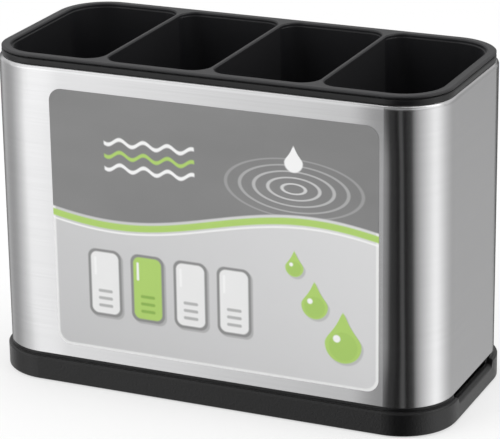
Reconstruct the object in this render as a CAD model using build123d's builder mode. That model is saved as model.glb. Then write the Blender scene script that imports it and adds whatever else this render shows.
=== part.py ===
from build123d import *
import os

# Cutlery bucket: a stainless sleeve on a drip tray, with a four-cell liner hanging in its mouth.
# Millimetres, +Z up, origin on the ground under the middle of the tray, +X along the long side.
# Every plan outline is the tray's outline drawn in by an inset, so the pieces nest evenly.

# Overall size, over the tray's plan and from the pads to the rim
overall_length = 185.6
overall_depth = 86.4
overall_height = 130.5
plan_corner = 21.7

# Heights of the levels where one piece meets the next
tray_bottom = 0.5
skirt_top = 9.7
sleeve_bottom = 11.1
sleeve_top = 126.9
collar_top = 129.1
running_gap = 0.3

# Steel sleeve
sleeve_inset = 1.4
sheet = 0.5
shoulder_radius = 1.6
lip_flat = 0.4
hem_height = 7.0
hem_chamfer = 0.3

# Top collar
rim_inset = 2.4
collar_wall = 1.2
collar_depth = 9.0
snap_width = 9.0
snap_reach = 0.9
snap_drop = 3.2
side_hook_places = (-52.0, 0.0, 52.0)
collar_chamfer = 0.35

# Compartment insert
insert_wall = 1.5
cell_pitch = 43.2
divider_thickness = 1.8
divider_corner = 7.0
cell_draft = 1.0
cell_floor = 14.0
flange_edge = 0.8
ledge_width = 0.5
rim_chamfer = 0.4
mouth_chamfer = 0.45
floor_chamfer = 3.0
drain_slot = (22.0, 3.0)
drain_rows = 5
drain_pitch = 11.0

# Base tray
tray_wall = 1.6
basin_floor = 4.2
floor_thickness = 1.7
spigot_top = 20.0
skirt_chamfer = 0.6
foot_chamfer = 0.4
lead_in = 0.8
basin_chamfer = 1.5
channel_top = 4.7
scoop_length = 42.0
scoop_sill = 6.2
scoop_rounding = 1.7
scoop_end = 3.0
rib_thickness = 1.2
rib_pitch = 27.0
rib_count = 6
rib_lift = 0.4

# Non-slip pads
pad_radius = 5.0
pad_thickness = 1.6
pad_play = 0.15
boss_size = 13.4
pad_x = 67.5
pad_y = 24.0

# Front label
label_length = 132.0
label_height = 102.4
label_corner = 5.0
label_thickness = 0.15
label_x = 3.5
label_z = 67.8

# Insets that follow from the ones above
lip_inset = sleeve_inset + shoulder_radius + lip_flat
neck_inset = lip_inset + running_gap
collar_bore_inset = neck_inset + collar_wall
insert_inset = collar_bore_inset + running_gap
cell_inset = insert_inset + insert_wall
hem_inset = sleeve_inset + 2 * sheet
spigot_inset = hem_inset + running_gap
seat_inset = tray_wall
under_floor = basin_floor - floor_thickness


def plan_size(inset):
    """Length, depth and corner radius of the tray's outline drawn in by an inset."""
    return (overall_length - 2 * inset, overall_depth - 2 * inset, plan_corner - inset)


def plan_block(inset, bottom, top, mode=Mode.ADD):
    """Add or cut a straight block with the plan outline at an inset, between two heights."""
    with BuildSketch(Plane.XY.offset(bottom)) as plan:
        RectangleRounded(*plan_size(inset))
    return extrude(plan.sketch, amount=top - bottom, mode=mode)


def edges_at(part, height, tolerance=0.01):
    """Edges of a part that lie flat at one height."""
    return part.edges().filter_by_position(Axis.Z, height - tolerance, height + tolerance)


def snap_hook(outward, along, reach_from):
    """Section of a collar snap hook: it points outward from the neck's face at reach_from."""
    outward = Vector(outward)
    section_plane = Plane(origin=(along, 0, 0), x_dir=outward, z_dir=outward.cross(Vector(0, 0, 1)))
    with BuildSketch(section_plane) as section:
        with BuildLine():
            Polyline(
                (reach_from - collar_wall / 2, hook_top),
                (reach_from + snap_reach, hook_top),
                (reach_from, hook_top - snap_drop),
                (reach_from - collar_wall / 2, hook_top - snap_drop),
                close=True,
            )
        make_face()
    return section.sketch


def scoop_cut(side):
    """The finger scoop at one end: sloping ends, and a sill that rolls over to the skirt's face."""
    face = side * overall_length / 2
    outside = face + side * running_gap
    crest = face - side * scoop_rounding
    root = face - side * (spigot_inset - pad_play)
    half_sill = scoop_length / 2 - scoop_end
    with BuildSketch(Plane.YZ.offset(root)) as opening:
        with BuildLine():
            Polyline(
                (-half_sill, scoop_sill),
                (half_sill, scoop_sill),
                (scoop_length / 2, sleeve_bottom),
                (-scoop_length / 2, sleeve_bottom),
                close=True,
            )
        make_face()
    with BuildSketch(Plane.XZ) as sill:
        with BuildLine():
            Line((root, scoop_sill + scoop_rounding), (crest, scoop_sill + scoop_rounding))
            JernArc(
                start=(crest, scoop_sill + scoop_rounding),
                tangent=(side, 0),
                radius=scoop_rounding,
                arc_size=-side * 90,
            )
            Polyline(
                (face, scoop_sill),
                (outside, scoop_sill),
                (outside, sleeve_bottom),
                (root, sleeve_bottom),
                (root, scoop_sill + scoop_rounding),
            )
        make_face()
    with BuildPart() as cut:
        extrude(opening.sketch, amount=side * (spigot_inset - pad_play + running_gap))
        extrude(sill.sketch, amount=scoop_length / 2, both=True, mode=Mode.INTERSECT)
    return cut.part


def air_notch(side):
    """Behind the scoop the spigot wall is open above the water line, for air and fingertips."""
    depth = 2 * tray_wall + running_gap
    middle = overall_length / 2 - spigot_inset + pad_play - depth / 2
    with BuildPart() as cut:
        with BuildSketch(Plane.XY.offset(scoop_sill)):
            with Locations((side * middle, 0)):
                Rectangle(depth, scoop_length - 2 * scoop_end)
        extrude(amount=spigot_top - scoop_sill)
    return cut.part


def cell_block(span, half_depth, corners, top, bottom, slope, web_flats=False):
    """A drafted block with one cell's plan: span is its two X limits, corners its end radii.

    With web_flats, each corner at a divider is a flat that only just clears its radius.
    """
    left, right = span
    with BuildSketch(Plane.XY.offset(top)) as plan:
        with Locations(((left + right) / 2, 0)):
            Rectangle(right - left, 2 * half_depth)
    with BuildPart() as block:
        extrude(plan.sketch, amount=bottom - top)
        if slope:
            walls = block.faces().filter_by(Axis.Z, reverse=True)
            draft(walls, Plane.XY.offset(top), -slope)
        upright = block.edges().filter_by(lambda edge: abs(edge.tangent_at(0.5).Z) > 0.9)
        upright = upright.sort_by(Axis.X)
        for pair, radius in ((upright[:2], corners[0]), (upright[2:], corners[1])):
            if web_flats and radius < outer_corner:
                chamfer(pair, length=radius * (2 - 2**0.5))
            else:
                fillet(pair, radius=radius)
    return block


# The four cells, from left to right: X limits and the corner radii at their two ends
cell_length, cell_depth, outer_corner = plan_size(cell_inset)
half_web = divider_thickness / 2
cell_centres = [-1.5 * cell_pitch, -0.5 * cell_pitch, 0.5 * cell_pitch, 1.5 * cell_pitch]
cell_spans = [
    (-cell_length / 2, -cell_pitch - half_web),
    (-cell_pitch + half_web, -half_web),
    (half_web, cell_pitch - half_web),
    (cell_pitch + half_web, cell_length / 2),
]
cell_corners = [
    (outer_corner, divider_corner),
    (divider_corner, divider_corner),
    (divider_corner, divider_corner),
    (divider_corner, outer_corner),
]


def cell_cup(span, corners):
    """The outside of one cell's cup, a wall thickness larger than the cell all round."""
    wide = (span[0] - insert_wall, span[1] + insert_wall)
    round_corners = [radius + insert_wall for radius in corners]
    half_depth = cell_depth / 2 + insert_wall
    foot = cell_floor - insert_wall
    cup = cell_block(wide, half_depth, round_corners, collar_top, foot, cell_draft, web_flats=True)
    return chamfer(edges_at(cup.part, foot), length=floor_chamfer + insert_wall / 2)


def cell_cavity(span, corners):
    """The inside of one cell below the ledge."""
    cavity = cell_block(span, cell_depth / 2, corners, collar_top, cell_floor, cell_draft)
    return chamfer(edges_at(cavity.part, cell_floor), length=floor_chamfer)


def cell_mouth(span, corners):
    """The top of one cell, wider by the ledge on the outer walls and flush at the dividers."""
    left = span[0] - (ledge_width if corners[0] == outer_corner else 0)
    right = span[1] + (ledge_width if corners[1] == outer_corner else 0)
    top = overall_height
    half_depth = cell_depth / 2 + ledge_width
    return cell_block((left, right), half_depth, corners, top, collar_top, 0).part


os.makedirs("parts", exist_ok=True)

cups = [cell_cup(span, corners) for span, corners in zip(cell_spans, cell_corners)]
cavities = [cell_cavity(span, corners) for span, corners in zip(cell_spans, cell_corners)]
mouths = [cell_mouth(span, corners) for span, corners in zip(cell_spans, cell_corners)]

# Base tray: a skirt, a seat for the sleeve's hem, and a spigot round the drip basin
with BuildPart() as base_tray:
    plan_block(0, tray_bottom, skirt_top)
    chamfer(edges_at(base_tray, skirt_top), length=skirt_chamfer)
    chamfer(edges_at(base_tray, tray_bottom), length=foot_chamfer)
    plan_block(seat_inset, skirt_top - skirt_chamfer, sleeve_bottom)
    plan_block(spigot_inset, sleeve_bottom, spigot_top)
    chamfer(edges_at(base_tray, spigot_top), length=lead_in)
    plan_block(spigot_inset + tray_wall, basin_floor, spigot_top, mode=Mode.SUBTRACT)
    chamfer(edges_at(base_tray, basin_floor), length=basin_chamfer)
    add([air_notch(1), air_notch(-1)], mode=Mode.SUBTRACT)
    add([scoop_cut(1), scoop_cut(-1)], mode=Mode.SUBTRACT)

    # Underside: a shallow hollow and a coring channel behind the skirt
    plan_block(tray_wall, tray_bottom, under_floor, mode=Mode.SUBTRACT)
    with BuildSketch(Plane.XY.offset(under_floor)):
        RectangleRounded(*plan_size(tray_wall))
        RectangleRounded(*plan_size(spigot_inset + pad_play), mode=Mode.SUBTRACT)
    extrude(amount=channel_top - under_floor, mode=Mode.SUBTRACT)

    # Stiffening ribs across and along the hollow, and a boss round each pad
    with BuildSketch(Plane.XY.offset(tray_bottom + rib_lift)):
        with GridLocations(rib_pitch, 1, rib_count, 1):
            Rectangle(rib_thickness, overall_depth - 2 * tray_wall)
        Rectangle(overall_length - 2 * tray_wall, rib_thickness)
    extrude(amount=under_floor - tray_bottom - rib_lift)
    with BuildSketch(Plane.XY.offset(tray_bottom)):
        with GridLocations(2 * pad_x, 2 * pad_y, 2, 2):
            Rectangle(boss_size, boss_size)
    extrude(amount=under_floor - tray_bottom)
    with BuildSketch(Plane.XY.offset(tray_bottom)):
        with GridLocations(2 * pad_x, 2 * pad_y, 2, 2):
            Circle(pad_radius + pad_play)
    extrude(amount=pad_thickness - tray_bottom, mode=Mode.SUBTRACT)
base_tray.part.label = "base_tray"
export_step(base_tray.part, "parts/base_tray.step")

# Non-slip pads, each pressed into its boss and standing a little proud of the tray
for name, x, y in (
    ("foot_front_left", -pad_x, -pad_y),
    ("foot_front_right", pad_x, -pad_y),
    ("foot_rear_left", -pad_x, pad_y),
    ("foot_rear_right", pad_x, pad_y),
):
    with BuildPart() as foot:
        with BuildSketch():
            with Locations((x, y)):
                Circle(pad_radius)
        extrude(amount=pad_thickness)
    foot.part.label = name
    export_step(foot.part, f"parts/{name}.step")

# Steel sleeve: thin sheet, rolled inward to a lip at the top and folded back to a hem below
with BuildPart() as sleeve_hollow:
    plan_block(sleeve_inset + sheet, sleeve_bottom + hem_height, sleeve_top - sheet)
    chamfer(edges_at(sleeve_hollow, sleeve_top - sheet), length=shoulder_radius / 2)
with BuildPart() as steel_sleeve:
    plan_block(sleeve_inset, sleeve_bottom, sleeve_top)
    fillet(edges_at(steel_sleeve, sleeve_top), radius=shoulder_radius)
    add(sleeve_hollow.part, mode=Mode.SUBTRACT)
    plan_block(lip_inset, sleeve_top - 2 * sheet, sleeve_top, mode=Mode.SUBTRACT)
    plan_block(hem_inset, sleeve_bottom, sleeve_bottom + hem_height, mode=Mode.SUBTRACT)
    chamfer(edges_at(steel_sleeve, sleeve_bottom), length=hem_chamfer)
steel_sleeve.part.label = "steel_sleeve"
export_step(steel_sleeve.part, "parts/steel_sleeve.step")

# Top collar: a band on the sleeve's shoulder, and a neck whose snap hooks catch under the lip
hook_top = sleeve_top - sheet - running_gap
neck_bottom = sleeve_top - collar_depth
end_face = overall_length / 2 - neck_inset
side_face = overall_depth / 2 - neck_inset
with BuildPart() as top_collar:
    plan_block(rim_inset, sleeve_top, collar_top)
    chamfer(edges_at(top_collar, collar_top), length=collar_chamfer)
    chamfer(edges_at(top_collar, sleeve_top), length=collar_chamfer)
    plan_block(neck_inset, neck_bottom, sleeve_top)
    for side in (1, -1):
        extrude(snap_hook((side, 0, 0), 0, end_face), amount=snap_width / 2, both=True)
        for place in side_hook_places:
            extrude(snap_hook((0, side, 0), place, side_face), amount=snap_width / 2, both=True)
    plan_block(collar_bore_inset, neck_bottom, collar_top, mode=Mode.SUBTRACT)
top_collar.part.label = "top_collar"
export_step(top_collar.part, "parts/top_collar.step")

# Compartment insert: a flange on the collar, with four cups moulded under it
with BuildPart() as compartment_insert:
    plan_block(rim_inset, overall_height - flange_edge, overall_height)
    chamfer(edges_at(compartment_insert, overall_height), length=rim_chamfer)
    plan_block(lip_inset, collar_top, overall_height - flange_edge)
    add(cups)
    add(cavities, mode=Mode.SUBTRACT)
    add(mouths, mode=Mode.SUBTRACT)
    flange_limit = overall_depth / 2 - lip_inset
    mouth_edges = edges_at(compartment_insert, overall_height).filter_by(
        lambda edge: abs(edge.center().Y) < flange_limit
        and abs(edge.center().X) < overall_length / 2 - lip_inset
    )
    chamfer(mouth_edges, length=mouth_chamfer)
    with BuildSketch(Plane.XY.offset(cell_floor - insert_wall)):
        with Locations(*[(centre, 0) for centre in cell_centres]):
            with GridLocations(1, drain_pitch, 1, drain_rows):
                Rectangle(*drain_slot)
    extrude(amount=insert_wall, mode=Mode.SUBTRACT)
compartment_insert.part.label = "compartment_insert"
export_step(compartment_insert.part, "parts/compartment_insert.step")

# Front label: a thin sticker on the sleeve's front face
with BuildPart() as front_label:
    with BuildSketch(Plane.XZ.offset(overall_depth / 2 - sleeve_inset)):
        with Locations((label_x, label_z)):
            RectangleRounded(label_length, label_height, label_corner)
    extrude(amount=label_thickness)
front_label.part.label = "front_label"
export_step(front_label.part, "parts/front_label.step")
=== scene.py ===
import math

import bpy
from mathutils import Matrix, Vector


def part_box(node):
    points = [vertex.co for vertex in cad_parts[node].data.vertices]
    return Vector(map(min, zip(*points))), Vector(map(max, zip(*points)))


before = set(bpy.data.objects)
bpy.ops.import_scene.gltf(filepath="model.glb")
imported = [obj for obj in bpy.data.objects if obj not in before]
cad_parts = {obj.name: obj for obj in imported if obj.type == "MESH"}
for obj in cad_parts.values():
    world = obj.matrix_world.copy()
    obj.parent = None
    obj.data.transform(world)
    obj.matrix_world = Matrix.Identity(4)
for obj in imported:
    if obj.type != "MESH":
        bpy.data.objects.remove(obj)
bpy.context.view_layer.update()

# Camera, solved from the outlines in the photograph: angles in degrees, lengths in metres
CAMERA_AZIMUTH = 24.06
CAMERA_ELEVATION = 19.74
CAMERA_ROLL = -0.83
CAMERA_DISTANCE = 1.005
CAMERA_TARGET = Vector((0.0003, 0.0, 0.0611))
CAMERA_REACH = 20.0

# Its lens and sensor, in millimetres
CAMERA_LENS = 188.1
SENSOR_WIDTH = 36.0

# Studio surroundings that gloss mirrors: azimuth in degrees from the front, towards the right
# end, and how bright the studio is that way. The bright stretches are soft boxes. The dark one
# is a tall black flag, and it crosses the front, where the two sides meet at FLAG_LEVEL.
FLAG_LEVEL = 0.03
LEFT_SWEEP = (
    (-180, 0.10),
    (-140, 0.12),
    (-130, 0.22),
    (-120, 0.50),
    (-114, 0.54),
    (-102, 0.44),
    (-90, 0.42),
    (-78, 0.50),
    (-62, 0.82),
    (-46, 1.26),
    (-37, 1.31),
    (-30, 1.24),
    (-27, 1.06),
    (-22, 0.78),
    (-13, 0.44),
    (-8, 0.38),
    (-2, 0.08),
    (0, FLAG_LEVEL),
)
RIGHT_SWEEP = (
    (0, FLAG_LEVEL),
    (9, FLAG_LEVEL),
    (12, 0.0),
    (17, 0.0),
    (19, 0.12),
    (23, 0.12),
    (25, 0.0),
    (29, 0.0),
    (32, 0.03),
    (41, 0.04),
    (46, 0.28),
    (58, 0.60),
    (76, 1.00),
    (88, 1.28),
    (94, 1.34),
    (101, 1.26),
    (112, 1.00),
    (124, 0.76),
    (138, 0.59),
    (146, 0.54),
    (164, 0.54),
    (168, 0.62),
    (172, 0.10),
    (180, 0.10),
)

# The same for what the rounded top edge and the rim's upper face mirror, higher up
CEILING_SWEEP = (
    (-180, 0.75),
    (-100, 0.80),
    (-40, 1.30),
    (-20, 1.15),
    (-4, 0.45),
    (36, 0.45),
    (52, 1.20),
    (100, 1.30),
    (122, 0.90),
    (142, 0.72),
    (180, 0.72),
)

# The same overhead, which only the rounded and bevelled edges mirror: a soft box to the left
# and a small bright one to the right
OVERHEAD_SWEEP = (
    (-180, 0.9),
    (-60, 1.35),
    (-46, 1.25),
    (-34, 0.7),
    (-10, 0.2),
    (60, 0.2),
    (92, 0.8),
    (106, 1.4),
    (112, 3.4),
    (120, 3.4),
    (126, 1.2),
    (136, 0.8),
    (180, 0.8),
)

# The upward part of a direction at which the ceiling begins and at which it has taken over,
# and the same for overhead
CEILING_START = (0.12, 0.42)
OVERHEAD_START = (0.52, 0.74)

# The upward parts, below the horizon, between which the studio grows lighter on the left and
# darker on the right
SHADING_RANGE = (-0.6, -0.1)
LEFT_SHADING = (0.62, 1.38)
RIGHT_SHADING = (1.20, 0.80)

# How bright the even fill light is, which only matt surfaces see
FILL_LEVEL = 0.75

# The soft lamps: name, place and size in metres, power in watts
LAMPS = (
    ("key", (-0.9, -1.0, 1.3), 0.9, 9.0),
    ("side", (1.4, -0.1, 0.8), 0.9, 5.0),
    ("top", (0.0, 0.3, 1.6), 1.0, 8.0),
)

# Floor: its size in metres, its surface, and the share of plain white that the camera sees in
# it; the rest keeps the object's shadow
FLOOR_SIZE = 8.0
FLOOR_TONE = 0.85
FLOOR_ROUGHNESS = 0.9
FLOOR_GLOSS = 0.1
FLOOR_WHITENESS = 0.6


class Nodes:
    """A short way to write shader nodes: each call adds one node and returns its output."""

    def __init__(self, tree):
        self.tree = tree

    def add(self, kind, inputs=None, output=0, **settings):
        node = self.tree.nodes.new(kind)
        for name, value in settings.items():
            setattr(node, name, value)
        for name, value in (inputs or {}).items():
            self.feed(node.inputs[name], value)
        return node.outputs[output] if len(node.outputs) else node

    def feed(self, socket, value):
        if isinstance(value, bpy.types.NodeSocket):
            self.tree.links.new(value, socket)
        else:
            socket.default_value = value

    def math(self, operation, *values):
        return self.add("ShaderNodeMath", dict(enumerate(values)), operation=operation)

    def smooth(self, value, low, high):
        """0 below low, 1 above high, smooth between; low above high turns it round."""
        inputs = {"Value": value, "From Min": low, "From Max": high}
        return self.add("ShaderNodeMapRange", inputs, interpolation_type="SMOOTHSTEP")

    def span(self, value, low, high, to_low, to_high):
        """From to_low at low to to_high at high, in a straight line, and level beyond them."""
        inputs = {"Value": value, "From Min": low, "From Max": high, "To Min": to_low, "To Max": to_high}
        return self.add("ShaderNodeMapRange", inputs)

    def mix(self, factor, first, second):
        inputs = {"Factor": factor, 6: first, 7: second}
        return self.add("ShaderNodeMix", inputs, output=2, data_type="RGBA")

    def noise(self, vector, scale, detail=2.0, roughness=0.5):
        inputs = {"Vector": vector, "Scale": scale, "Detail": detail, "Roughness": roughness}
        return self.add("ShaderNodeTexNoise", inputs)

    def stretched_noise(self, vector, scales, detail=2.0, roughness=0.5):
        """Noise with its own scale along each axis."""
        stretched = self.add("ShaderNodeMapping", {"Vector": vector, "Scale": scales})
        return self.noise(stretched, 1.0, detail, roughness)

    def ramp(self, azimuth, sweep):
        """Brightness from a sweep of azimuths; beyond its ends it keeps the end's value."""
        first, last = sweep[0][0], sweep[-1][0]
        node = self.tree.nodes.new("ShaderNodeValToRGB")
        turn = self.span(azimuth, math.radians(first), math.radians(last), 0.0, 1.0)
        self.feed(node.inputs[0], turn)
        brightest = max(value for _, value in sweep)
        stops = node.color_ramp.elements
        for index, (angle, value) in enumerate(sweep):
            position = (angle - first) / (last - first)
            stop = stops[index] if index < 2 else stops.new(position)
            stop.position = position
            stop.color = grey(value / brightest)
        return self.math("MULTIPLY", node.outputs[0], brightest)

    def split(self, vector):
        node = self.tree.nodes.new("ShaderNodeSeparateXYZ")
        self.feed(node.inputs[0], vector)
        return node.outputs["X"], node.outputs["Y"], node.outputs["Z"]

    def joined(self, x, y, z):
        return self.add("ShaderNodeCombineXYZ", {0: x, 1: y, 2: z})

    def tint(self, red, green, blue):
        return self.add("ShaderNodeCombineColor", {0: red, 1: green, 2: blue})

    def bump(self, height, strength, distance, normal=None):
        """Relief on top of a given normal, or else of the surface's own."""
        inputs = {"Height": height, "Strength": strength, "Distance": distance}
        if normal is not None:
            inputs["Normal"] = normal
        return self.add("ShaderNodeBump", inputs)


def grey(value):
    return (value, value, value, 1.0)


def new_material(name):
    material = bpy.data.materials.new(name)
    material.use_nodes = True
    shader = material.node_tree.nodes["Principled BSDF"]
    return material, Nodes(material.node_tree), shader


def dress(node, material):
    """Give a CAD node one material over all its faces."""
    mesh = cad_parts[node].data
    mesh.materials.clear()
    mesh.materials.append(material)


# How the thin sheet is bent: its front and back start to turn before the corner's radius does,
# between these distances from the middle in metres, and more so near the top and the foot.
# CORNER_FADE and TWIST_START are sizes of the normal's part along the long side, and END_START
# is in shares of half the sleeve's height.
CORNER_START = (0.057, 0.072)
CORNER_TURN = math.radians(3.0)
CORNER_FADE = (0.5, 0.05)
END_TURN = math.radians(2.5)
END_START = (0.55, 1.0)

# The corners are also twisted a little over their height, and slow waves run all over
CORNER_TWIST = math.radians(2.2)
TWIST_START = (0.1, 0.45)
SHEET_WAVES = math.radians(0.5)
SHEET_WAVE_SCALES = (26.0, 26.0, 11.0)


def sheet_normal(nodes, place):
    """The sheet's own slight unevenness, which bends what it mirrors."""
    low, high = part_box("steel_sleeve")
    middle = (low[2] + high[2]) / 2
    half_height = (high[2] - low[2]) / 2
    x, _, z = nodes.split(place)
    normal_x, normal_y, normal_z = nodes.split(nodes.add("ShaderNodeNewGeometry", output=1))
    side = nodes.math("SIGN", x)
    height = nodes.math("DIVIDE", nodes.math("SUBTRACT", z, middle), half_height)
    ends = nodes.smooth(nodes.math("ABSOLUTE", height), *END_START)
    turned = nodes.math("ABSOLUTE", normal_x)
    # The early turn, strongest where the corner starts and gone a third of the way round it
    early = nodes.smooth(nodes.math("ABSOLUTE", x), *CORNER_START)
    early = nodes.math("MULTIPLY", early, nodes.smooth(turned, *CORNER_FADE))
    amount = nodes.math("MULTIPLY_ADD", ends, END_TURN, CORNER_TURN)
    push = nodes.math("MULTIPLY", nodes.math("MULTIPLY", early, amount), side)
    # The twist round the corner, and the slow waves
    twist = nodes.math("MULTIPLY", height, side)
    twist = nodes.math("MULTIPLY", twist, nodes.smooth(turned, *TWIST_START))
    waves = nodes.stretched_noise(place, SHEET_WAVE_SCALES, detail=1.0)
    waves = nodes.math("MULTIPLY", nodes.math("SUBTRACT", waves, 0.5), 2 * SHEET_WAVES)
    turn = nodes.math("MULTIPLY_ADD", twist, CORNER_TWIST, waves)
    bent_x = nodes.math("ADD", normal_x, push)
    bent_x = nodes.math("SUBTRACT", bent_x, nodes.math("MULTIPLY", normal_y, turn))
    bent_y = nodes.math("MULTIPLY_ADD", normal_x, turn, normal_y)
    bent = nodes.joined(bent_x, bent_y, normal_z)
    return nodes.add("ShaderNodeVectorMath", {0: bent}, operation="NORMALIZE")


# Steel: how fine the grain, the coarser lines and the smears are along each axis
GRAIN_SCALES = (9.0, 9.0, 3200.0)
LINE_SCALES = (4.0, 4.0, 700.0)
SMEAR_SCALES = (14.0, 14.0, 22.0)

# Its tone and roughness, what the grain, lines, smears and weld seam add to them, and how far
# its blue stands above its red and green
STEEL_TONE = 0.59
GRAIN_TONE = 0.08
LINE_TONE = 0.03
SEAM_TONE = -0.16
STEEL_COOLNESS = 0.006
STEEL_ROUGHNESS = 0.195
GRAIN_ROUGHNESS = 0.03
SMEAR_ROUGHNESS = 0.02
SEAM_ROUGHNESS = 0.10

# How strongly brushing draws reflections out, with a quarter turn for their direction, and the
# strength and depth in metres of the grain's relief
BRUSHING = 0.92
BRUSHING_TURN = 0.25
GRAIN_RELIEF = 0.05
GRAIN_DEPTH = 0.0002

# Distances from the seam's middle at which it has faded out and at which it is full, in metres
SEAM_FADE = (0.0009, 0.00054)


def brushed_steel():
    """Stainless sheet, brushed along its length, with a welded seam down the middle of the back."""
    material, nodes, shader = new_material("brushed_steel")
    place = nodes.add("ShaderNodeTexCoord", output=3)
    grain = nodes.stretched_noise(place, GRAIN_SCALES, detail=3.0, roughness=0.65)
    lines = nodes.stretched_noise(place, LINE_SCALES, detail=2.0)
    smear = nodes.stretched_noise(place, SMEAR_SCALES, detail=3.0)
    x, y, _ = nodes.split(place)
    behind = nodes.math("GREATER_THAN", y, 0.0)
    seam = nodes.smooth(nodes.math("ABSOLUTE", x), *SEAM_FADE)
    seam = nodes.math("MULTIPLY", seam, behind)
    tone = nodes.math("MULTIPLY_ADD", grain, GRAIN_TONE, STEEL_TONE)
    tone = nodes.math("MULTIPLY_ADD", lines, LINE_TONE, tone)
    tone = nodes.math("MULTIPLY_ADD", seam, SEAM_TONE, tone)
    colour = nodes.tint(tone, tone, nodes.math("ADD", tone, STEEL_COOLNESS))
    nodes.feed(shader.inputs["Base Color"], colour)
    roughness = nodes.math("MULTIPLY_ADD", smear, SMEAR_ROUGHNESS, STEEL_ROUGHNESS)
    roughness = nodes.math("MULTIPLY_ADD", seam, SEAM_ROUGHNESS, roughness)
    roughness = nodes.math("MULTIPLY_ADD", grain, GRAIN_ROUGHNESS, roughness)
    nodes.feed(shader.inputs["Roughness"], roughness)
    shader.inputs["Metallic"].default_value = 1.0
    shader.inputs["Anisotropic"].default_value = BRUSHING
    shader.inputs["Anisotropic Rotation"].default_value = BRUSHING_TURN
    relief = nodes.bump(grain, GRAIN_RELIEF, GRAIN_DEPTH, sheet_normal(nodes, place))
    nodes.feed(shader.inputs["Normal"], relief)
    return material


# Plastics and rubber: colour, roughness, fineness and strength of the texture, and sheen
PLASTICS = {
    "black_liner": (0.009, 0.38, 2000.0, 0.20, 0.12),
    "black_trim": (0.003, 0.32, 2000.0, 0.20, 0.20),
    "black_tray": (0.002, 0.30, 1400.0, 0.60, 0.35),
    "pad_rubber": (0.03, 0.75, 4000.0, 0.15, 0.0),
}

# What they share: how far the shading of their edges is rounded and how deep the texture is, in
# metres, the scale of the flow marks along each axis, and the gloss
EDGE_ROUNDING = 0.0004
EDGE_SAMPLES = 6
TEXTURE_DEPTH = 0.0002
FLOW_SCALES = (30.0, 30.0, 12.0)
PLASTIC_GLOSS = 0.43
SHEEN_ROUGHNESS = 0.3

# Their tone between the flow marks and what the marks add, as shares of the colour, the blue as
# a share of the red and green, and the same two steps for roughness, with the texture's part
PLAIN_TONE = 0.75
FLOW_TONE = 0.5
PLASTIC_COOLNESS = 1.15
PLAIN_ROUGHNESS = -0.05
FLOW_ROUGHNESS = 0.06
TEXTURE_ROUGHNESS = 0.10


def moulded_plastic(name):
    """Black plastic or rubber: a spark-eroded texture, faint flow marks and softly rounded edges."""
    colour, roughness, texture_scale, texture_strength, sheen = PLASTICS[name]
    material, nodes, shader = new_material(name)
    shader.inputs["Specular IOR Level"].default_value = PLASTIC_GLOSS
    shader.inputs["Sheen Weight"].default_value = sheen
    shader.inputs["Sheen Roughness"].default_value = SHEEN_ROUGHNESS
    place = nodes.add("ShaderNodeTexCoord", output=3)
    texture = nodes.noise(place, texture_scale, detail=3.0, roughness=0.7)
    flow = nodes.stretched_noise(place, FLOW_SCALES, detail=3.0)
    tone = nodes.math("MULTIPLY_ADD", flow, colour * FLOW_TONE, colour * PLAIN_TONE)
    tinted = nodes.tint(tone, tone, nodes.math("MULTIPLY", tone, PLASTIC_COOLNESS))
    nodes.feed(shader.inputs["Base Color"], tinted)
    rough = nodes.math("MULTIPLY_ADD", flow, FLOW_ROUGHNESS, roughness + PLAIN_ROUGHNESS)
    rough = nodes.math("MULTIPLY_ADD", texture, TEXTURE_ROUGHNESS, rough)
    nodes.feed(shader.inputs["Roughness"], rough)
    rounded = nodes.add("ShaderNodeBevel", {"Radius": EDGE_ROUNDING}, samples=EDGE_SAMPLES)
    relief = nodes.bump(texture, texture_strength, TEXTURE_DEPTH, rounded)
    nodes.feed(shader.inputs["Normal"], relief)
    return material


# Label print: its tones and inks
GREY_PANEL = 0.205
PALE_FIELD = 0.60
PALE_CELL = 0.78
SLOT_GREY = 0.42
LINE_GREY = 0.24
PRINT_WHITE = 0.86
LEAF_GREEN = (0.40, 0.60, 0.135, 1.0)
DEEP_GREEN = (0.24, 0.42, 0.07, 1.0)
FIELD_SHADE = 0.05
FIELD_COOLNESS = 1.01

# Its sizes, here and below, are shares of half the label's length. A bar is given by half its
# length, half its height and the radius of its corners.
PRINT_SOFTNESS = 0.006
BORDER_WIDTH = 0.015
BORDER_CORNER = 0.07
SHADOW_OFFSET = 0.012

# Panel: its lower edge is a slow wave, and its grey has soft clouds
EDGE_TURNS = 2.6
EDGE_SWELL = 0.09
EDGE_LEVEL = 0.12
CLOUD_SCALES = (18.0, 18.0, 40.0)
CLOUD_TONE = 0.08
CLOUD_DROP = 0.04

# Ripples round the place where a white drop falls: their radii, line, slant and strength
RIPPLE_COUNT = 5
RIPPLE_MIDDLE = (0.50, 0.36)
RIPPLE_FIRST, RIPPLE_PITCH = 0.07, 0.085
RIPPLE_HALF_LINE = 0.010
RIPPLE_SLANT = 2.4
RIPPLE_STRENGTH, RIPPLE_FADE = 0.60, 0.11
WHITE_DROP_RISE = 0.15
WHITE_DROP_RADIUS = 0.055

# Ribbon and hairline: how far below the panel's edge their middles run, and half their widths
RIBBON = (0.036, 0.020)
HAIRLINE = (0.072, 0.005)

# Cells in a row, one of them green, each with a shadow, drain slots and a glint
CELL_COUNT = 4
GREEN_CELL = 1
CELL_FIRST, CELL_PITCH, CELL_MIDDLE = -0.68, 0.27, -0.36
CELL_OUTER = (0.105, 0.205, 0.05)
CELL_INNER = (0.088, 0.188, 0.04)
CELL_SHADOW = 0.5
SLOT_COUNT = 3
SLOT_DROP, SLOT_PITCH = 0.05, 0.045
SLOT_BAR = (0.045, 0.009, 0.009)
CELL_GLINT_PLACE = (-0.06, 0.10)
CELL_GLINT_BAR = (0.007, 0.055, 0.007)

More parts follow.
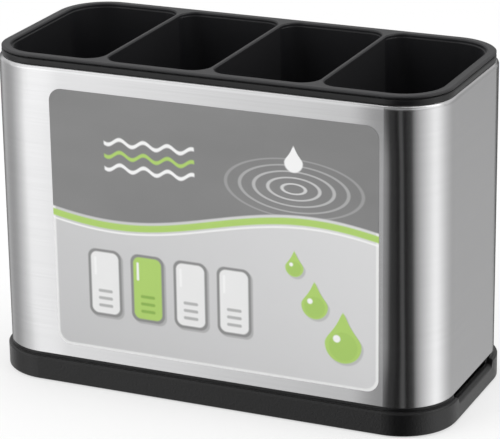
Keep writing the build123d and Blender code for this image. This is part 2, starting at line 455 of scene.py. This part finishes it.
# Green drops: middle and radius of each. Then how far a drop's top is drawn out, how strong its
# shadow and its darker body are, and places and sizes in shares of its radius.
GREEN_DROPS = ((0.50, -0.10, 0.055), (0.62, -0.31, 0.080), (0.79, -0.52, 0.110))
DROP_POINT = 0.42
DROP_SHADOW = 0.4
DROP_DEPTH = 0.25
DROP_DEPTH_DOWN, DROP_DEPTH_RADIUS = 0.1, 0.78
DROP_GLINT_PLACE = (-0.35, 0.30)
DROP_GLINT_RADIUS = 0.20

# Short waves on the panel
WAVE_TURNS = 42.0
WAVE_SWELL = 0.017
WAVE_TOP, WAVE_PITCH = 0.50, 0.075
WAVE_HALF_LINE = 0.011
WAVE_MIDDLE = -0.38
WAVE_REACH = (0.28, 0.06, 0.02)

# The film that the label is printed on
FIBRE_SCALE = 900.0
FILM_ROUGHNESS = 0.38
FIBRE_ROUGHNESS = 0.10
FIBRE_RELIEF = 0.03
FIBRE_DEPTH = 0.0001


class LabelFace:
    """Shapes on the label: u runs from -1 to 1 along its length, w up it in the same measure."""

    def __init__(self, nodes, place):
        low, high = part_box("front_label")
        half_length = (high[0] - low[0]) / 2
        x, _, z = nodes.split(place)
        self.nodes = nodes
        self.half_height = (high[2] - low[2]) / 2 / half_length
        self.u = nodes.math("DIVIDE", nodes.math("SUBTRACT", x, (low[0] + high[0]) / 2), half_length)
        self.w = nodes.math("DIVIDE", nodes.math("SUBTRACT", z, (low[2] + high[2]) / 2), half_length)

    def from_middle(self, centre_u, centre_w):
        across = self.nodes.math("SUBTRACT", self.u, centre_u)
        upward = self.nodes.math("SUBTRACT", self.w, centre_w)
        return across, upward

    def length(self, across, upward):
        square = self.nodes.math("MULTIPLY", upward, upward)
        square = self.nodes.math("MULTIPLY_ADD", across, across, square)
        return self.nodes.math("SQRT", square)

    def inside(self, distance, radius):
        return self.nodes.smooth(distance, radius + PRINT_SOFTNESS, radius - PRINT_SOFTNESS)

    def disc(self, centre_u, centre_w, radius):
        return self.inside(self.length(*self.from_middle(centre_u, centre_w)), radius)

    def ripple(self, centre_u, centre_w, radius, half_line):
        """A ring seen at a slant."""
        across, upward = self.from_middle(centre_u, centre_w)
        distance = self.length(across, self.nodes.math("MULTIPLY", upward, RIPPLE_SLANT))
        off = self.nodes.math("ABSOLUTE", self.nodes.math("SUBTRACT", distance, radius))
        return self.inside(off, half_line)

    def drop(self, centre_u, centre_w, radius):
        """A falling drop: round below, drawn out to a point above."""
        across, upward = self.from_middle(centre_u, centre_w)
        rise = self.nodes.math("MAXIMUM", upward, 0.0)
        share = self.nodes.math("DIVIDE", rise, radius)
        taper = self.nodes.math("MULTIPLY_ADD", share, share, 1.0)
        squeezed = self.nodes.math("MULTIPLY_ADD", rise, -DROP_POINT, upward)
        return self.inside(self.length(self.nodes.math("MULTIPLY", across, taper), squeezed), radius)

    def bar(self, centre_u, centre_w, half_u, half_w, corner):
        """An upright rectangle with rounded corners."""
        across, upward = self.from_middle(centre_u, centre_w)
        beyond = []
        for offset, half in ((across, half_u), (upward, half_w)):
            past = self.nodes.math("SUBTRACT", self.nodes.math("ABSOLUTE", offset), half - corner)
            beyond.append(self.nodes.math("MAXIMUM", past, 0.0))
        return self.inside(self.length(*beyond), corner)


def print_field(nodes, face):
    """The pale field inside its border, a little darker towards the lower left."""
    shade = nodes.math("MULTIPLY_ADD", nodes.math("ADD", face.u, face.w), FIELD_SHADE, PALE_FIELD)
    field = nodes.tint(shade, shade, nodes.math("MULTIPLY", shade, FIELD_COOLNESS))
    half_height = face.half_height - BORDER_WIDTH
    within = face.bar(0.0, 0.0, 1.0 - BORDER_WIDTH, half_height, BORDER_CORNER)
    return nodes.mix(within, grey(PALE_CELL), field)


def print_panel(nodes, place, band, colour):
    """The grey panel over the top of the label, with soft clouds of tone."""
    clouds = nodes.stretched_noise(place, CLOUD_SCALES, detail=2.0)
    shade = nodes.math("MULTIPLY_ADD", clouds, CLOUD_TONE, GREY_PANEL - CLOUD_DROP)
    return nodes.mix(band, colour, nodes.tint(shade, shade, shade))


def print_ripples(nodes, face, band, colour):
    """Ripples round a falling drop, whiter towards the middle."""
    for index in range(RIPPLE_COUNT):
        radius = RIPPLE_FIRST + RIPPLE_PITCH * index
        ring = face.ripple(*RIPPLE_MIDDLE, radius, RIPPLE_HALF_LINE)
        ring = nodes.math("MULTIPLY", ring, RIPPLE_STRENGTH - RIPPLE_FADE * index)
        colour = nodes.mix(nodes.math("MULTIPLY", ring, band), colour, grey(PRINT_WHITE))
    middle_u, middle_w = RIPPLE_MIDDLE
    drop = face.drop(middle_u, middle_w + WHITE_DROP_RISE, WHITE_DROP_RADIUS)
    return nodes.mix(drop, colour, grey(PRINT_WHITE))


def print_ribbon(nodes, face, edge, colour):
    """A green ribbon under the panel's edge, with a white hairline below it."""
    for (below, half_line), ink in ((RIBBON, LEAF_GREEN), (HAIRLINE, grey(PRINT_WHITE))):
        off = nodes.math("SUBTRACT", face.w, nodes.math("SUBTRACT", edge, below))
        colour = nodes.mix(face.inside(nodes.math("ABSOLUTE", off), half_line), colour, ink)
    return colour


def print_cells(nodes, face, colour):
    """Rounded cells in a row, with drain slots."""
    glint_across, glint_up = CELL_GLINT_PLACE
    for index in range(CELL_COUNT):
        green = index == GREEN_CELL
        centre = CELL_FIRST + CELL_PITCH * index
        shadow = face.bar(centre + SHADOW_OFFSET, CELL_MIDDLE - SHADOW_OFFSET, *CELL_OUTER)
        outer = face.bar(centre, CELL_MIDDLE, *CELL_OUTER)
        inner = face.bar(centre, CELL_MIDDLE, *CELL_INNER)
        colour = nodes.mix(nodes.math("MULTIPLY", shadow, CELL_SHADOW), colour, grey(LINE_GREY))
        colour = nodes.mix(outer, colour, grey(LINE_GREY))
        colour = nodes.mix(inner, colour, LEAF_GREEN if green else grey(PALE_CELL))
        for row in range(SLOT_COUNT):
            slot = face.bar(centre, CELL_MIDDLE - SLOT_DROP - SLOT_PITCH * row, *SLOT_BAR)
            colour = nodes.mix(slot, colour, DEEP_GREEN if green else grey(SLOT_GREY))
        glint = face.bar(centre + glint_across, CELL_MIDDLE + glint_up, *CELL_GLINT_BAR)
        colour = nodes.mix(glint, colour, grey(PRINT_WHITE))
    return colour


def print_drops(nodes, face, colour):
    """Falling green drops, which grow towards the lower right."""
    glint_across, glint_up = DROP_GLINT_PLACE
    for u, w, radius in GREEN_DROPS:
        shadow = face.drop(u + SHADOW_OFFSET, w - SHADOW_OFFSET, radius)
        colour = nodes.mix(nodes.math("MULTIPLY", shadow, DROP_SHADOW), colour, grey(LINE_GREY))
        colour = nodes.mix(face.drop(u, w, radius), colour, LEAF_GREEN)
        depth = face.disc(u, w - radius * DROP_DEPTH_DOWN, radius * DROP_DEPTH_RADIUS)
        colour = nodes.mix(nodes.math("MULTIPLY", depth, DROP_DEPTH), colour, DEEP_GREEN)
        glint_radius = radius * DROP_GLINT_RADIUS
        glint = face.disc(u + radius * glint_across, w + radius * glint_up, glint_radius)
        colour = nodes.mix(glint, colour, grey(PRINT_WHITE))
    return colour


def print_waves(nodes, face, colour):
    """Short waves at the left of the panel, the middle one green."""
    swell = nodes.math("SINE", nodes.math("MULTIPLY", face.u, WAVE_TURNS))
    swell = nodes.math("MULTIPLY", swell, WAVE_SWELL)
    for index, ink in enumerate((grey(PRINT_WHITE), LEAF_GREEN, grey(PRINT_WHITE))):
        level = WAVE_TOP - WAVE_PITCH * index
        off = nodes.math("SUBTRACT", face.w, nodes.math("ADD", swell, level))
        line = face.inside(nodes.math("ABSOLUTE", off), WAVE_HALF_LINE)
        reach = face.bar(WAVE_MIDDLE, level, *WAVE_REACH)
        colour = nodes.mix(nodes.math("MULTIPLY", line, reach), colour, ink)
    return colour


def label_print():
    """A generic print of water and cells, on satin film."""
    material, nodes, shader = new_material("label_print")
    place = nodes.add("ShaderNodeTexCoord", output=3)
    face = LabelFace(nodes, place)
    # The height of the panel's edge, and how far a place is inside the panel
    wave = nodes.math("SINE", nodes.math("MULTIPLY", face.u, EDGE_TURNS))
    edge = nodes.math("ADD", nodes.math("MULTIPLY", wave, EDGE_SWELL), EDGE_LEVEL)
    band = nodes.smooth(nodes.math("SUBTRACT", face.w, edge), -PRINT_SOFTNESS, PRINT_SOFTNESS)
    colour = print_field(nodes, face)
    colour = print_panel(nodes, place, band, colour)
    colour = print_ripples(nodes, face, band, colour)
    colour = print_ribbon(nodes, face, edge, colour)
    colour = print_cells(nodes, face, colour)
    colour = print_drops(nodes, face, colour)
    colour = print_waves(nodes, face, colour)
    nodes.feed(shader.inputs["Base Color"], colour)
    fibre = nodes.noise(place, FIBRE_SCALE, detail=3.0)
    roughness = nodes.math("MULTIPLY_ADD", fibre, FIBRE_ROUGHNESS, FILM_ROUGHNESS)
    nodes.feed(shader.inputs["Roughness"], roughness)
    nodes.feed(shader.inputs["Normal"], nodes.bump(fibre, FIBRE_RELIEF, FIBRE_DEPTH))
    return material


def studio():
    """White background, a soft even light, and the sweep that gloss mirrors."""
    world = bpy.data.worlds.new("studio")
    bpy.context.scene.world = world
    world.use_nodes = True
    world.node_tree.nodes.clear()
    nodes = Nodes(world.node_tree)
    x, y, z = nodes.split(nodes.add("ShaderNodeTexCoord", output=0))
    azimuth = nodes.math("ARCTAN2", x, nodes.math("MULTIPLY", y, -1.0))
    left = nodes.math("SUBTRACT", nodes.ramp(azimuth, LEFT_SWEEP), FLAG_LEVEL)
    left = nodes.math("MULTIPLY", left, nodes.span(z, *SHADING_RANGE, *LEFT_SHADING))
    right = nodes.ramp(azimuth, RIGHT_SWEEP)
    right = nodes.math("MULTIPLY", right, nodes.span(z, *SHADING_RANGE, *RIGHT_SHADING))
    level = nodes.math("ADD", left, right)
    for sweep, start in ((CEILING_SWEEP, CEILING_START), (OVERHEAD_SWEEP, OVERHEAD_START)):
        above = nodes.math("SUBTRACT", nodes.ramp(azimuth, sweep), level)
        level = nodes.math("MULTIPLY_ADD", above, nodes.smooth(z, *start), level)
    rays = nodes.tree.nodes.new("ShaderNodeLightPath")
    mirrored = nodes.math("MULTIPLY", level, rays.outputs["Is Glossy Ray"])
    even = nodes.math("SUBTRACT", 1.0, rays.outputs["Is Glossy Ray"])
    strength = nodes.math("ADD", mirrored, nodes.math("MULTIPLY", even, FILL_LEVEL))
    shown = nodes.math("MAXIMUM", strength, rays.outputs["Is Camera Ray"])
    background = nodes.add("ShaderNodeBackground", {"Color": grey(1.0), "Strength": shown})
    nodes.add("ShaderNodeOutputWorld", {"Surface": background})


def stand_floor():
    """A plain pale floor, which the steel doesn't mirror: it mirrors the studio sweep instead."""
    bpy.ops.mesh.primitive_plane_add(size=FLOOR_SIZE, location=(0, 0, 0))
    floor = bpy.context.object
    floor.name = "floor"
    material, nodes, shader = new_material("floor")
    shader.inputs["Base Color"].default_value = grey(FLOOR_TONE)
    shader.inputs["Roughness"].default_value = FLOOR_ROUGHNESS
    shader.inputs["Specular IOR Level"].default_value = FLOOR_GLOSS
    rays = nodes.tree.nodes.new("ShaderNodeLightPath")
    white = nodes.add("ShaderNodeEmission", {"Color": grey(1.0), "Strength": 1.0})
    share = nodes.math("MULTIPLY", rays.outputs["Is Camera Ray"], FLOOR_WHITENESS)
    shown = nodes.add("ShaderNodeMixShader", {0: share, 1: shader.outputs[0], 2: white})
    nodes.feed(nodes.tree.nodes["Material Output"].inputs["Surface"], shown)
    floor.data.materials.append(material)
    floor.visible_glossy = False


def lamp(name, place, size, power):
    """A square soft lamp aimed at the middle of the object; gloss mirrors the sweep, not the lamp."""
    light = bpy.data.lights.new(name, "AREA")
    light.shape = "SQUARE"
    light.size = size
    light.energy = power
    stand = bpy.data.objects.new(name, light)
    stand.location = Vector(place)
    aim = CAMERA_TARGET - stand.location
    stand.rotation_euler = aim.to_track_quat("-Z", "Y").to_euler()
    stand.visible_glossy = False
    bpy.context.collection.objects.link(stand)


def camera():
    """The photograph's camera."""
    turn = math.radians(CAMERA_AZIMUTH)
    tilt = math.radians(CAMERA_ELEVATION)
    roll = math.radians(CAMERA_ROLL)
    forward = Vector((-math.sin(turn) * math.cos(tilt), math.cos(turn) * math.cos(tilt), -math.sin(tilt)))
    level_right = Vector((math.cos(turn), math.sin(turn), 0.0))
    level_up = level_right.cross(forward)
    right = level_right * math.cos(roll) + level_up * math.sin(roll)
    up = level_up * math.cos(roll) - level_right * math.sin(roll)
    data = bpy.data.cameras.new("camera")
    data.sensor_width = SENSOR_WIDTH
    data.lens = CAMERA_LENS
    data.clip_end = CAMERA_REACH
    eye = bpy.data.objects.new("camera", data)
    spot = CAMERA_TARGET - forward * CAMERA_DISTANCE
    axes = Matrix((right, up, -forward)).transposed().to_4x4()
    eye.matrix_world = Matrix.Translation(spot) @ axes
    bpy.context.collection.objects.link(eye)
    bpy.context.scene.camera = eye


bpy.context.scene.view_settings.view_transform = "Standard"
studio()
stand_floor()
camera()
for lamp_settings in LAMPS:
    lamp(*lamp_settings)

dress("steel_sleeve", brushed_steel())
dress("compartment_insert", moulded_plastic("black_liner"))
dress("top_collar", moulded_plastic("black_trim"))
dress("base_tray", moulded_plastic("black_tray"))
rubber = moulded_plastic("pad_rubber")
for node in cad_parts:
    if node.startswith("foot_"):
        dress(node, rubber)
dress("front_label", label_print())
